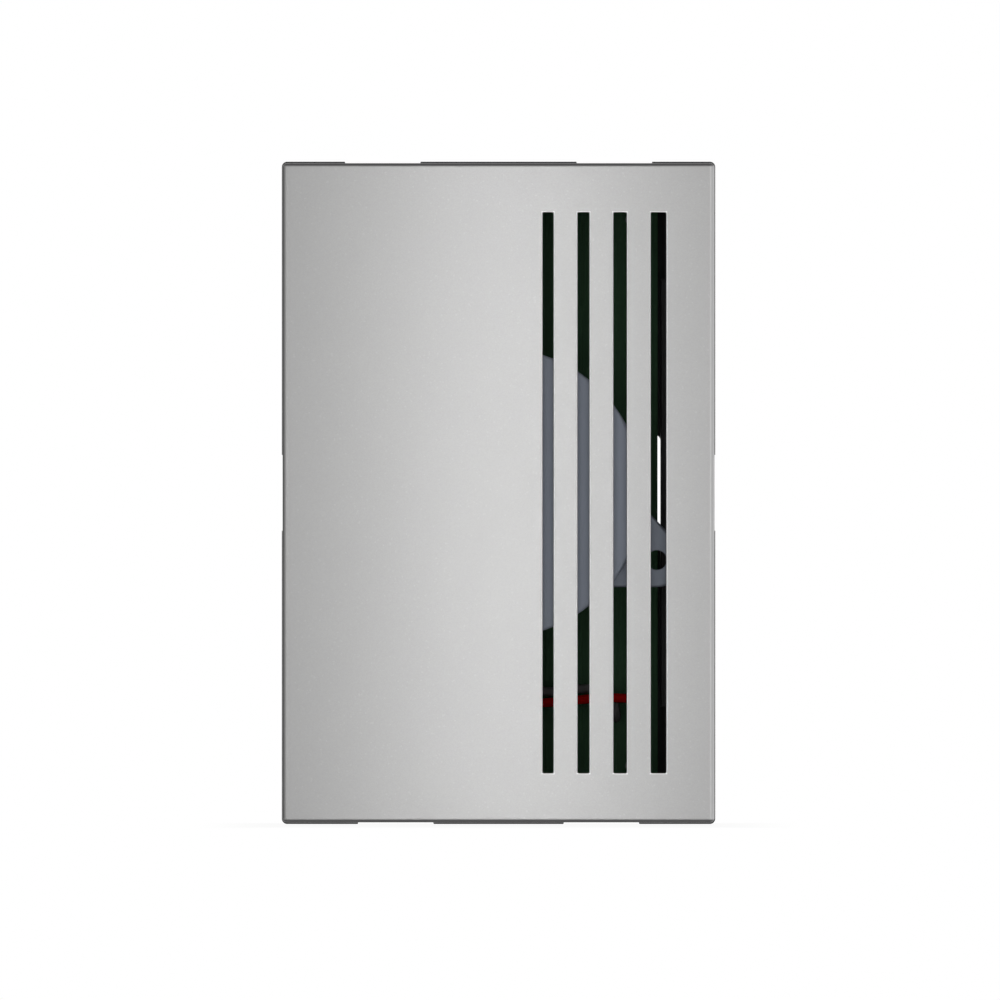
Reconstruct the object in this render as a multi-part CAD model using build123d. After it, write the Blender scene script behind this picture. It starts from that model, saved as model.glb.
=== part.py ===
from build123d import *
import math
import os

# Doorbell chime box for a wall, fed by a bell transformer.
# The working frame lies flat: X right, Y up, Z out of the wall, zero at the centre of the back.
# Each piece is stood up when it is written: X right, Z up, and the front faces minus Y.

os.makedirs("parts", exist_ok=True)

overrun = 1.0
glue_gap = 0.05

# Base plate
plate_thickness = 2.6
plate_corner = 1.2
plate_edge_round = 0.4
rim_side_step = 0.3
rim_end_step = 0.7
rim_rib_height = 4.2
rim_rib_thickness = 1.4
floor_rib_height = 2.4
floor_rib_thickness = 1.2
floor_rib_x = 14.0
floor_rib_y = 40.0
rail_gap = 0.7
rail_thickness = 1.6
rail_end_room = 25.3
rail_height = 13.2
rail_chamfer = 0.2
window_height = 26.0
window_width = 10.2
window_corner = 1.3
cable_window_width = 22.0
cable_window_height = 13.0
cable_window_side_room = 9.5
cable_window_margin = 4.6
wall_hole_radius = 2.25
wall_hole_side_margin = 7.9
wall_hole_end_margin = 18.1
wall_hole_chamfer = 0.5

# Notches that a screwdriver enters, one behind each latch
notch_width = 16.0
notch_depth = 1.9
notch_slant = 0.5
top_notch_x = 25.9
bottom_notch_x = 23.0

# Latches between the plate and the cover
latch_width = 12.0
latch_thickness = 1.4
latch_height = 7.0
latch_hook_height = 2.8
latch_hook_reach = 0.7
latch_hook_land = 0.7
latch_hook_lead = 2.2
latch_play = 0.1
nub_reach = 0.8
nub_height = 2.1
nub_land = 1.1
nub_clearance = 0.17
latch_side_gap = 1.0

# Front cover
face_width = 95.8
face_height = 146.2
cover_wall = 2.0
cover_face = 2.0
cover_corner = 1.0
cover_inner_corner = 0.8
cover_edge_round = 0.8
cover_draft = 0.4
cover_fit = 0.3
cover_rib_drop = 3.0
cover_rib_thickness = 1.2
cover_rib_y = 42.0
cover_rib_end_gap = 1.3

# Sound slots in the cover, from the middle to the right
slot_first = 9.8
slot_side_margin = 10.75
slot_widths = [2.35, 2.55, 2.9, 3.35]
slot_end_margin = 10.95
slot_corner = 0.3
slot_rim_round = 0.25

# Circuit board
board_side_room = 12.4
board_end_room = 7.1
board_thickness = 1.6
board_standoff = 6.4
board_corner = 1.5
board_notch_margin = 1.0
boss_radius = 3.5
boss_side_margin = 4.5
boss_end_margin = 5.0
boss_pilot_radius = 1.25
boss_pilot_depth = 5.0
post_radius = 2.0
post_side_margin = 15.5
board_hole_radius = 1.6

# Pan-head screws, for the board and for the cradle
screw_radius = 1.25
screw_head_radius = 2.6
screw_head_height = 1.9
screw_head_round = 0.9
screw_slot_width = 0.7
screw_slot_depth = 0.9
board_screw_length = 6.0
cradle_screw_length = 3.4

# Cradle that grips the speaker's magnet
cradle_floor = 2.0
cradle_flange = 9.0
cradle_seat_width = 4.0
cradle_seat_height = 2.1
cradle_seat_inset = 1.0
cradle_screw_room = 5.3
cradle_finger_width = 8.0
cradle_finger_thickness = 1.6
cradle_finger_gap = 0.15
cradle_hook_reach = 1.2
cradle_hook_gap = 0.1
cradle_hook_height = 1.4
cradle_hole_clearance = 0.15

# Loudspeaker: magnet system
yoke_inset = 0.5
yoke_thickness = 2.4
pole_share = 0.205
magnet_share = 0.5
magnet_bore_gap = 2.3
magnet_thickness = 6.0
top_plate_inset = 1.8
top_plate_thickness = 2.4
coil_gap = 0.35
metal_edge_chamfer = 0.4

# Loudspeaker: pressed frame
speaker_side_room = 15.75
frame_sheet = 0.8
frame_depth = 11.4
frame_bore_gap = 2.6
frame_foot_inset = 0.5
frame_foot_slope = 1.0
frame_ledge_width = 3.0
frame_ledge_rise = 3.6
frame_flange_width = 4.75
frame_skirt = 2.2
frame_window_margin = 1.0
frame_window_arc = 52.0
frame_window_count = 4
lug_room = 6.05
lug_angle = -23.0
lug_taper = 23.0
lug_root_depth = 12.15
lug_end_radius = 6.05
lug_hole_radius = 2.15
lug_edge_round = 0.6
lug_hole_round = 0.2

# Loudspeaker: dust screen over the front
screen_thickness = 1.9
screen_skin = 0.6
screen_rim_width = 3.35
screen_edge_round = 0.8
screen_gap = 1.2

# Loudspeaker: moving cone, its coil and what centres them
former_wall = 0.35
former_length = 11.2
former_foot = 3.5
coil_wall = 0.4
coil_length = 5.0
coil_foot = 1.2
cone_sheet = 0.5
surround_width = 4.0
cone_lip = 1.0
cone_sag = 0.6
cone_neck_drop = 0.6
dust_cap_margin = 2.0
dust_cap_rise = 1.9
dust_cap_sheet = 0.4
surround_sheet = 0.4
surround_roll_sag = 1.0
surround_lip = 1.2
surround_roll_gap = 0.3
spider_sheet = 0.4
spider_wave_rise = 0.7
spider_outer_lip = 2.8
spider_edge_gap = 0.4
spider_inner_lip = 0.6
spider_waves = 3

# Loudspeaker: terminal strip
strip_width = 12.0
strip_thickness = 1.0
strip_inner_inset = 0.4
strip_outer_inset = 1.9
strip_corner = 1.0
tag_spread = 7.0
tag_width = 2.4
tag_thickness = 0.5
tag_setback = 3.6
tag_overhang = 2.9
tag_hole_radius = 0.6

# Speaker leads: each route starts at its tag and turns down to a hole in the board
lead_radius = 1.0
lead_core_radius = 0.4
lead_core_clearance = 0.1
lead_core_proud = 1.4
solder_radius = 1.3
solder_top_radius = 0.5
solder_height = 1.0
lead_arc_share = 0.45
red_from_tag = [
    (0, -1.0, -0.1),
    (-0.9, -9.0, -3.0),
    (1.3, -16.2, -8.4),
]
red_from_corner = [
    (-29.3, 18.9, 6.2),
    (-19.5, 19.6, 5.4),
    (-12.0, 20.4, 5.6),
    (-7.4, 20.2, 5.5),
    (-4.9, 20.0, 4.3),
    (-3.6, 19.9, 2.2),
    (-3.6, 19.9, 0),
]
black_from_tag = [
    (0, -1.0, -0.1),
    (-0.5, -7.2, -4.2),
    (0.5, -13.6, -10.4),
]
black_from_corner = [
    (-25.1, 21.3, 4.0),
    (-18.0, 22.3, 3.4),
    (-12.5, 22.3, 3.2),
    (-10.0, 20.6, 3.2),
    (-9.3, 17.3, 3.2),
    (-9.2, 15.8, 1.8),
    (-9.2, 15.8, 0),
]

# Screw terminals for the bell wires
pole_count = 3
pole_pitch = 5.0
terminal_depth = 8.2
terminal_height = 10.0
terminal_end_wall = 0.3
terminal_chamfer = 1.4
terminal_port_radius = 1.7
terminal_port_depth = 6.4
terminal_port_height = 3.4
terminal_well_radius = 1.9
terminal_well_depth = 2.4
terminal_setback = 0.8
terminal_screw_radius = 1.75
terminal_screw_length = 1.6
terminal_clamp_wall = 0.45
terminal_clamp_gap = 0.1

# Volume trimmer
trimmer_x = -14.5
trimmer_drop = 25.0
trimmer_size = 10.0
trimmer_height = 5.0
trimmer_corner = 0.8
trimmer_well_radius = 4.0
trimmer_well_depth = 3.0
trimmer_fit = 0.05
trimmer_pivot_radius = 1.0
trimmer_pivot_length = 1.6
trimmer_rise = 0.6
trimmer_slot_width = 1.0
trimmer_slot_length = 5.6
trimmer_slot_depth = 1.2
trimmer_pointer_length = 1.6

# Melody switch
switch_x = -12.0
switch_drop = 5.0
switch_length = 12.0
switch_width = 5.6
switch_height = 5.0
switch_wall = 0.5
switch_travel = 4.0
switch_fit = 0.1
switch_knob_length = 3.2
switch_knob_width = 2.2
switch_knob_height = 3.6
switch_shoe_length = 5.8
switch_shoe_height = 2.6

# Parts soldered to the board
chip_width = 6.4
chip_height = 3.4
chip_standoff = 0.6
chip_pitch = 2.54
chip_leg_width = 0.6
chip_leg_thickness = 0.3
chip_leg_span = 7.62
chip_mark_radius = 0.8
chip_mark_depth = 0.3
sound_chip_x = -5.4
sound_chip_drop = 14.0
sound_chip_rows = 7
amplifier_x = -3.2
amplifier_drop = 24.4
amplifier_rows = 4
large_can_radius = 5.0
large_can_height = 21.0
large_can_margin = 7.5
large_can_drop = 14.8
small_can_radius = 2.5
small_can_height = 11.0
small_can_x = 6.2
small_can_pitch = 6.4
can_groove_rise = 1.6
can_groove_radius = 0.35
can_top_round = 0.5
rectifier_margin = 6.1
rectifier_rise = 37.0
rectifier_radius = 4.5
rectifier_height = 5.6
rectifier_standoff = 0.8
rectifier_leg_radius = 0.4
rectifier_leg_reach = 2.5
regulator_margin = 5.9
regulator_drop = 34.5
regulator_radius = 2.3
regulator_height = 4.6
regulator_standoff = 2.0
regulator_flat = 1.2
resistor_margin = 6.3
resistor_rise = 22.0
resistor_pitch = 3.4
resistor_count = 5
resistor_radius = 1.15
resistor_waist = 0.95
resistor_length = 6.2
resistor_end_length = 1.5
resistor_leg_radius = 0.3
resistor_leg_reach = 4.4
resistor_lift = 1.5

# Heights above the wall, from the plate to the face
board_rear = plate_thickness + board_standoff
board_front = board_rear + board_thickness
yoke_rear = board_front + cradle_floor + cradle_seat_height
magnet_rear = yoke_rear + yoke_thickness
magnet_front = magnet_rear + magnet_thickness
frame_rear = magnet_front + top_plate_thickness
flange_front = frame_rear + frame_depth
flange_rear = flange_front - frame_sheet
ledge_front = frame_rear + frame_sheet + frame_ledge_rise
strip_rear = ledge_front - frame_sheet - strip_thickness
screen_front = flange_front + screen_thickness
inner_front = screen_front + screen_gap
case_depth = inner_front + cover_face

# Outlines of the cover at its back edge, which the plate follows
draft_growth = (case_depth - plate_thickness) * math.tan(math.radians(cover_draft))
rear_width = face_width + 2 * draft_growth
rear_height = face_height + 2 * draft_growth
rear_inner_width = rear_width - 2 * cover_wall
rear_inner_height = rear_height - 2 * cover_wall
base_width = rear_width + 2 * rim_side_step
base_height = rear_height + 2 * rim_end_step

# The slots share the face's height, and their bars take the width that the slots leave
slot_height = face_height - 2 * slot_end_margin
slot_room = face_width / 2 - slot_first - slot_side_margin
slot_bar = (slot_room - sum(slot_widths)) / (len(slot_widths) - 1)

# The board, the plate's holes and the rails follow the case
board_width = face_width - 2 * board_side_room
board_height = face_height - 2 * board_end_room
board_left = -board_width / 2
board_top = board_height / 2
board_low = -board_height / 2
boss_x = board_width / 2 - boss_side_margin
boss_y = board_height / 2 - boss_end_margin
post_x = board_width / 2 - post_side_margin
rail_length = face_height - 2 * rail_end_room
wall_hole_span_x = face_width - 2 * wall_hole_side_margin
wall_hole_span_y = face_height - 2 * wall_hole_end_margin
cable_window_x = board_left + cable_window_side_room + cable_window_width / 2
cable_window_y = -face_height / 2 + cable_window_margin + cable_window_height / 2

# The speaker is as large as the case's width allows, and its magnet grows with it
speaker_radius = face_width / 2 - speaker_side_room
magnet_radius = magnet_share * speaker_radius
pole_radius = pole_share * speaker_radius
magnet_bore = pole_radius + magnet_bore_gap
yoke_radius = magnet_radius - yoke_inset
top_plate_radius = magnet_radius - top_plate_inset
frame_bore = pole_radius + frame_bore_gap
frame_foot_radius = magnet_radius - frame_foot_inset
frame_ledge_inner = frame_foot_radius + frame_foot_slope
frame_ledge_outer = frame_ledge_inner + frame_ledge_width
frame_mouth_radius = speaker_radius - frame_flange_width
frame_window_inner = frame_ledge_outer + frame_window_margin
frame_window_outer = frame_mouth_radius - frame_window_margin
lug_reach = speaker_radius + lug_room
lug_root_reach = speaker_radius - lug_root_depth
cone_rim_radius = frame_mouth_radius - surround_width
dust_cap_radius = pole_radius + dust_cap_margin
strip_inner = frame_ledge_inner + strip_inner_inset
strip_outer = frame_mouth_radius - strip_outer_inset
tag_inner = strip_inner + tag_setback
tag_outer = strip_outer + tag_overhang
cradle_radius = magnet_radius + cradle_flange
cradle_seat_radius = magnet_radius - cradle_seat_inset
cradle_bore = cradle_seat_radius - cradle_seat_width
cradle_screw_reach = magnet_radius + cradle_screw_room

# Parts on the board are placed from its nearest edges
trimmer_y = board_top - trimmer_drop
switch_y = board_top - switch_drop
sound_chip_y = board_top - sound_chip_drop
amplifier_y = board_top - amplifier_drop
large_can_x = board_left + large_can_margin
large_can_y = board_top - large_can_drop
small_can_places = [(small_can_x, y) for y in (amplifier_y, sound_chip_y, switch_y)]
small_can_places.append((small_can_x - small_can_pitch, switch_y))
rectifier_x = board_left + rectifier_margin
rectifier_y = board_low + rectifier_rise
regulator_x = board_left + regulator_margin
regulator_y = board_top - regulator_drop
resistor_x = board_left + resistor_margin
resistor_y = board_low + resistor_rise

# Seats of the six latches on the cover's inner wall, each turned so that its Y faces outward
end_seats = [
    Pos(-top_notch_x, rear_inner_height / 2, 0),
    Pos(top_notch_x, rear_inner_height / 2, 0),
    Pos(-bottom_notch_x, -rear_inner_height / 2, 0) * Rot(0, 0, 180),
    Pos(bottom_notch_x, -rear_inner_height / 2, 0) * Rot(0, 0, 180),
]
side_seats = [
    Pos(rear_inner_width / 2, 0, 0) * Rot(0, 0, -90),
    Pos(-rear_inner_width / 2, 0, 0) * Rot(0, 0, 90),
]
latch_seats = end_seats + side_seats
board_corners = [(x, y) for x in (-boss_x, boss_x) for y in (-boss_y, boss_y)]
wall_holes = [
    (x, y)
    for x in (-wall_hole_span_x / 2, wall_hole_span_x / 2)
    for y in (-wall_hole_span_y / 2, wall_hole_span_y / 2)
]
seat_up = (Align.CENTER, Align.CENTER, Align.MIN)
hang_down = (Align.CENTER, Align.CENTER, Align.MAX)


def slab(outline, low, high):
    """A flat outline made solid between two heights."""
    return extrude(Pos(0, 0, low) * outline, high - low)


def ring(outer, bore, low, high):
    """A flat ring about the speaker's axis between two heights."""
    return slab(Circle(outer) - Circle(bore), low, high)


def spun_sheet(line, thickness):
    """A thin sheet that follows a line of radius and height, turned about the speaker's axis."""
    return revolve(Rot(90, 0, 0) * trace(line, thickness), Axis.Z)


def across(profile, width):
    """A profile in the YZ plane made solid to both sides of it."""
    return extrude(profile, width / 2, both=True)


def yz_outline(points):
    """A closed outline in the YZ plane from pairs of Y and Z."""
    return make_face(Polyline([(0, y, z) for y, z in points], close=True))


def screw(length, head_seat):
    """A slotted pan-head screw whose head sits at a height and whose shank points at the wall."""
    head = Pos(0, 0, head_seat) * Cylinder(screw_head_radius, screw_head_height, align=seat_up)
    head = fillet(head.edges().group_by(Axis.Z)[-1], screw_head_round)
    head -= Pos(0, 0, head_seat + screw_head_height) * Box(
        2 * screw_head_radius + overrun, screw_slot_width, 2 * screw_slot_depth
    )
    shank = Pos(0, 0, head_seat) * Cylinder(screw_radius, length, align=hang_down)
    shank = chamfer(shank.edges().group_by(Axis.Z)[0], screw_radius / 3)
    return head + shank


def rim_notch(edge):
    """A cutter with slanted ends that enters the rim from an edge at this distance."""
    outline = Polyline(
        [
            (-notch_width / 2, edge - notch_depth),
            (notch_width / 2, edge - notch_depth),
            (notch_width / 2 + notch_slant, edge),
            (notch_width / 2 + notch_slant, edge + overrun),
            (-notch_width / 2 - notch_slant, edge + overrun),
            (-notch_width / 2 - notch_slant, edge),
        ],
        close=True,
    )
    return slab(make_face(outline), -overrun, plate_thickness + overrun)


def make_base_plate():
    plate = slab(RectangleRounded(base_width, base_height, plate_corner), 0, plate_thickness)
    plate = fillet(plate.edges().group_by(Axis.Z)[-1], plate_edge_round)

    # Rib inside the cover's wall, open at each latch
    rib_width = rear_inner_width - 2 * cover_fit
    rib_height = rear_inner_height - 2 * cover_fit
    rib = Rectangle(rib_width, rib_height)
    rib -= Rectangle(rib_width - 2 * rim_rib_thickness, rib_height - 2 * rim_rib_thickness)
    rib = slab(rib, plate_thickness, plate_thickness + rim_rib_height)
    gap_width = latch_width + 2 * latch_side_gap
    for seat in latch_seats:
        rib -= seat * Box(gap_width, 4 * latch_thickness, 4 * case_depth)
    plate += rib

    # Stiffening ribs under the board
    inner_height = rib_height - 2 * rim_rib_thickness
    rib_top = plate_thickness + floor_rib_height
    for x in (-floor_rib_x, floor_rib_x):
        plate += slab(Pos(x, 0) * Rectangle(floor_rib_thickness, 2 * floor_rib_y), plate_thickness, rib_top)
    for y in (-floor_rib_y, floor_rib_y):
        plate += slab(Pos(0, y) * Rectangle(board_width, floor_rib_thickness), plate_thickness, rib_top)
    for x in (-floor_rib_x, floor_rib_x):
        length = inner_height / 2 - floor_rib_y
        tie = Pos(x, floor_rib_y + length / 2) * Rectangle(floor_rib_thickness, length)
        plate += slab(tie, plate_thickness, rib_top)

    # Rails beside the board
    rail_x = board_width / 2 + rail_gap + rail_thickness / 2
    for x in (-rail_x, rail_x):
        rail = Pos(x, 0, plate_thickness) * Box(rail_thickness, rail_length, rail_height, align=seat_up)
        plate += chamfer(rail.edges().group_by(Axis.Z)[-1], rail_chamfer)

    # Bosses for the board's screws, and two plain posts
    for x, y in board_corners:
        plate += Pos(x, y, plate_thickness) * Cylinder(boss_radius, board_standoff, align=seat_up)
        plate -= Pos(x, y, board_rear) * Cylinder(boss_pilot_radius, boss_pilot_depth, align=hang_down)
    for x in (-post_x, post_x):
        plate += Pos(x, 0, plate_thickness) * Cylinder(post_radius, board_standoff, align=seat_up)

    # Windows beside the board, the bell wires' window and the wall screws' holes
    window_x = board_width / 2 + rail_gap - window_width / 2
    windows = [
        Pos(-window_x, 0) * RectangleRounded(window_width, window_height, window_corner),
        Pos(window_x, 0) * RectangleRounded(window_width, window_height, window_corner),
        Pos(cable_window_x, cable_window_y)
        * RectangleRounded(cable_window_width, cable_window_height, window_corner),
    ]
    for window in windows:
        plate -= slab(window, -overrun, rib_top + overrun)
    for x, y in wall_holes:
        plate -= Pos(x, y, 0) * Cylinder(wall_hole_radius, 2 * plate_thickness + overrun)
        plate -= Pos(x, y, plate_thickness - wall_hole_chamfer) * Cone(
            wall_hole_radius, wall_hole_radius + 2 * wall_hole_chamfer, 2 * wall_hole_chamfer, align=seat_up
        )

    for seat in end_seats:
        plate -= seat * rim_notch(cover_wall + rim_end_step)
    for seat in side_seats:
        plate -= seat * rim_notch(cover_wall + rim_side_step)
    return plate


def make_latch_tongues():
    outer = -nub_reach - nub_clearance
    inner = outer - latch_thickness
    hook = plate_thickness + latch_hook_height
    profile = yz_outline(
        [
            (inner, plate_thickness),
            (outer, plate_thickness),
            (outer, hook),
            (outer + latch_hook_reach, hook),
            (outer + latch_hook_reach, hook + latch_hook_land),
            (outer, hook + latch_hook_land + latch_hook_lead),
            (outer, plate_thickness + latch_height),
            (inner, plate_thickness + latch_height),
        ]
    )
    return [seat * across(profile, latch_width) for seat in latch_seats]


def cover_block(width, height, corner, front):
    """A drafted block: the outline at the face's height, grown to the back edge."""
    growth = (front - plate_thickness) * math.tan(math.radians(cover_draft))
    small = Pos(0, 0, front) * RectangleRounded(width, height, corner)
    large = Pos(0, 0, plate_thickness) * RectangleRounded(width + 2 * growth, height + 2 * growth, corner)
    return loft([large, small])


def make_front_cover():
    cover = cover_block(face_width, face_height, cover_corner, case_depth)
    cover = fillet(cover.edges().group_by(Axis.Z)[-1], cover_edge_round)
    cover -= cover_block(
        face_width - 2 * cover_wall, face_height - 2 * cover_wall, cover_inner_corner, inner_front
    )

    # Sound slots with a rounded rim
    left = slot_first
    for width in slot_widths:
        outline = Pos(left + width / 2, 0) * RectangleRounded(width, slot_height, slot_corner)
        cover -= slab(outline, inner_front - overrun, case_depth + overrun)
        left += width + slot_bar
    front_face = cover.faces().sort_by(Axis.Z)[-1]
    rims = [edge for wire in front_face.inner_wires() for edge in wire.edges()]
    cover = fillet(rims, slot_rim_round)

    # Ribs behind the plain part of the face
    rib_length = face_width / 2 - cover_wall + slot_first - cover_rib_end_gap
    rib_x = slot_first - cover_rib_end_gap - rib_length / 2
    for y in (-cover_rib_y, cover_rib_y):
        rib = Pos(rib_x, y) * Rectangle(rib_length, cover_rib_thickness)
        cover += slab(rib, inner_front - cover_rib_drop, inner_front)

    # Nubs that the latches hold
    nub_top = plate_thickness + latch_hook_height - latch_play
    profile = yz_outline(
        [
            (cover_wall / 2, nub_top - nub_height),
            (0, nub_top - nub_height),
            (-nub_reach, nub_top - nub_land),
            (-nub_reach, nub_top),
            (cover_wall / 2, nub_top),
        ]
    )
    for seat in latch_seats:
        cover += seat * across(profile, latch_width)
    return cover


def make_circuit_board():
    board = Rectangle(board_width, board_height)
    board = fillet(board.vertices(), board_corner)
    notch_top = cable_window_y + cable_window_height / 2 + board_notch_margin
    notch_low = -board_height / 2 - overrun
    notch = Rectangle(cable_window_width + 2 * board_notch_margin, notch_top - notch_low)
    board -= Pos(cable_window_x, (notch_top + notch_low) / 2) * notch
    board = slab(board, board_rear, board_front)
    for x, y in board_corners:
        board -= Pos(x, y, board_rear) * Cylinder(board_hole_radius, 4 * board_thickness)
    for place in PolarLocations(cradle_screw_reach, 4, start_angle=45):
        board -= place * Pos(0, 0, board_rear) * Cylinder(
            screw_radius + cradle_hole_clearance, 4 * board_thickness
        )
    for foot in (red_points[-1], black_points[-1]):
        board -= Pos(foot.X, foot.Y, board_rear) * Cylinder(
            lead_core_radius + lead_core_clearance, 4 * board_thickness
        )
    return board


def make_board_screws():
    return [Pos(x, y, 0) * screw(board_screw_length, board_front) for x, y in board_corners]


def make_speaker_cradle():
    floor_top = board_front + cradle_floor
    cradle = ring(cradle_radius, cradle_bore, board_front, floor_top)
    cradle += ring(cradle_seat_radius, cradle_bore, floor_top, yoke_rear)
    inner = magnet_radius + cradle_finger_gap
    outer = inner + cradle_finger_thickness
    hook_low = magnet_front + cradle_hook_gap
    hook_top = hook_low + cradle_hook_height
    profile = make_face(
        Polyline(
            [
                (inner, 0, board_front),
                (outer, 0, board_front),
                (outer, 0, hook_top),
                (inner, 0, hook_top),
                (inner - cradle_hook_reach, 0, hook_low + cradle_hook_height / 3),
                (inner - cradle_hook_reach, 0, hook_low),
                (inner, 0, hook_low),
            ],
            close=True,
        )
    )
    fingers = revolve(profile, Axis.Z)
    cross = Rectangle(2 * cradle_radius, cradle_finger_width)
    cross += Rectangle(cradle_finger_width, 2 * cradle_radius)
    cradle += fingers & slab(cross, board_front, case_depth)
    for place in PolarLocations(cradle_screw_reach, 4, start_angle=45):
        cradle -= place * Pos(0, 0, board_front) * Cylinder(
            screw_radius + cradle_hole_clearance, 4 * cradle_floor
        )
    return cradle


def make_cradle_screws():
    one = screw(cradle_screw_length, board_front + cradle_floor)
    return [place * one for place in PolarLocations(cradle_screw_reach, 4, start_angle=45)]


def make_speaker_yoke():
    yoke = Pos(0, 0, yoke_rear) * Cylinder(yoke_radius, yoke_thickness, align=seat_up)
    yoke = chamfer(yoke.edges().group_by(Axis.Z)[0], metal_edge_chamfer)
    pole = Pos(0, 0, magnet_rear) * Cylinder(pole_radius, frame_rear - magnet_rear, align=seat_up)
    pole = chamfer(pole.edges().group_by(Axis.Z)[-1], metal_edge_chamfer)
    return yoke + pole


def make_speaker_magnet():
    magnet = ring(magnet_radius, magnet_bore, magnet_rear, magnet_front)
    outer_edges = magnet.edges().filter_by(GeomType.CIRCLE).group_by(SortBy.RADIUS)[-1]
    return chamfer(outer_edges, metal_edge_chamfer)


def make_speaker_top_plate():
    bore = pole_radius + 2 * coil_gap + former_wall + coil_wall
    return ring(top_plate_radius, bore, magnet_front, frame_rear)


def lug_outline():
    """A tapered lug whose sides touch its round end and widen towards the frame."""
    root_radius = lug_end_radius + (lug_reach - lug_root_reach) * math.sin(math.radians(lug_taper))
    end = Pos(lug_reach, 0) * Circle(lug_end_radius)
    root = Pos(lug_root_reach, 0) * Circle(root_radius)
    return make_hull(end.edges() + root.edges())


def make_speaker_frame():
    half = frame_sheet / 2
    line = Polyline(
        [
            (frame_bore, frame_rear + half),
            (frame_foot_radius, frame_rear + half),
            (frame_ledge_inner, ledge_front - half),
            (frame_ledge_outer, ledge_front - half),
            (frame_mouth_radius, flange_front - frame_skirt),
            (frame_mouth_radius, flange_front - half),
            (speaker_radius, flange_front - half),
        ]
    )
    frame = spun_sheet(line, frame_sheet)

    # Windows in the sloping wall
    inner_arc = Circle(frame_window_outer) - Circle(frame_window_inner)
    reach = 2 * frame_window_outer
    half_span = reach * math.tan(math.radians(frame_window_arc / 2))
    wedge = make_face(Polyline([(0, 0), (reach, half_span), (reach, -half_span)], close=True))
    window = slab(inner_arc & wedge, ledge_front, flange_rear)
    for place in PolarLocations(0, frame_window_count, start_angle=45):
        frame -= place * window

    # Two lugs opposite each other
    for turn in (lug_angle, lug_angle + 180):
        lug = slab(lug_outline() - Circle(speaker_radius - screen_rim_width), flange_rear, flange_front)
        rims = lug.edges().group_by(Axis.Z)[-1].filter_by(lambda edge: edge.center().X > speaker_radius)
        lug = fillet(rims, lug_edge_round) - Pos(lug_reach, 0, flange_rear) * Cylinder(
            lug_hole_radius, 4 * frame_sheet
        )
        hole_rim = lug.edges().filter_by(GeomType.CIRCLE).group_by(Axis.Z)[-1].group_by(SortBy.RADIUS)[0]
        frame += Rot(0, 0, turn) * fillet(hole_rim, lug_hole_round)
    return frame


def make_speaker_screen():
    screen = Pos(0, 0, flange_front) * Cylinder(speaker_radius, screen_thickness, align=seat_up)
    screen = fillet(screen.edges().group_by(Axis.Z)[-1], screen_edge_round)
    hollow = Circle(speaker_radius - screen_rim_width)
    return screen - slab(hollow, flange_front - overrun, screen_front - screen_skin)


def make_voice_coil_former():
    inner = pole_radius + coil_gap
    low = magnet_rear + former_foot
    return ring(inner + former_wall, inner, low, low + former_length)


def make_voice_coil():
    inner = pole_radius + coil_gap + former_wall
    low = magnet_rear + former_foot + coil_foot
    return ring(inner + coil_wall, inner, low, low + coil_length)


def cone_neck():
    """Radius and height of the middle of the cone's sheet where it meets the former."""
    radius = pole_radius + coil_gap + former_wall + cone_sheet
    height = magnet_rear + former_foot + former_length - cone_neck_drop
    return radius, height


def make_speaker_cone():
    neck_radius, neck_height = cone_neck()
    edge_radius = cone_rim_radius - cone_lip
    edge_height = flange_front - cone_sheet / 2
    middle_radius = (neck_radius + edge_radius) / 2
    middle_height = (neck_height + edge_height) / 2 - cone_sag
    wall = ThreePointArc(
        (neck_radius, neck_height), (middle_radius, middle_height), (edge_radius, edge_height)
    )
    lip = Line((edge_radius, edge_height), (cone_rim_radius, edge_height))
    return spun_sheet(wall, cone_sheet) + spun_sheet(lip, cone_sheet)


def make_dust_cap():
    """A shallow dome, cut from a hollow ball, over the end of the former."""
    low = magnet_rear + former_foot + former_length + glue_gap
    ball_radius = (dust_cap_radius**2 + dust_cap_rise**2) / (2 * dust_cap_rise)
    ball = Sphere(ball_radius) - Sphere(ball_radius - dust_cap_sheet)
    dome = Pos(0, 0, low + dust_cap_rise - ball_radius) * ball
    return dome & slab(Circle(dust_cap_radius), low, low + 2 * dust_cap_rise)


def make_speaker_surround():
    height = flange_front + surround_sheet / 2
    outer = frame_mouth_radius + surround_lip
    roll_inner = cone_rim_radius + surround_roll_gap
    roll_outer = frame_mouth_radius - surround_lip / 2
    inner_lip = Line((cone_rim_radius - cone_lip, height), (roll_inner, height))
    roll = ThreePointArc(
        (roll_inner, height),
        ((roll_inner + roll_outer) / 2, height - surround_roll_sag),
        (roll_outer, height),
    )
    outer_lip = Line((roll_outer, height), (outer - glue_gap, height))
    sheets = [spun_sheet(line, surround_sheet) for line in (inner_lip, roll, outer_lip)]
    return sheets[0] + sheets[1] + sheets[2]


def make_speaker_spider():
    height = ledge_front + spider_sheet / 2
    inner = pole_radius + coil_gap + former_wall + glue_gap
    outer = frame_ledge_outer - spider_edge_gap
    wave_inner = inner + spider_inner_lip
    wave_outer = outer - spider_outer_lip
    wave = (wave_outer - wave_inner) / spider_waves
    spider = spun_sheet(Line((inner, height), (wave_inner, height)), spider_sheet)
    spider += spun_sheet(Line((wave_outer, height), (outer, height)), spider_sheet)
    for turn in range(spider_waves):
        start = wave_inner + turn * wave
        rise = -spider_wave_rise if turn % 2 else spider_wave_rise
        line = ThreePointArc((start, height), (start + wave / 2, height + rise), (start + wave, height))
        spider += spun_sheet(line, spider_sheet)
    return spider


def make_speaker_tag_strip():
    outline = Rectangle(strip_width, strip_outer - strip_inner)
    outline = fillet(outline.vertices(), strip_corner)
    outline = Pos(0, -(strip_outer + strip_inner) / 2) * outline
    return slab(outline, strip_rear, strip_rear + strip_thickness)


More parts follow.
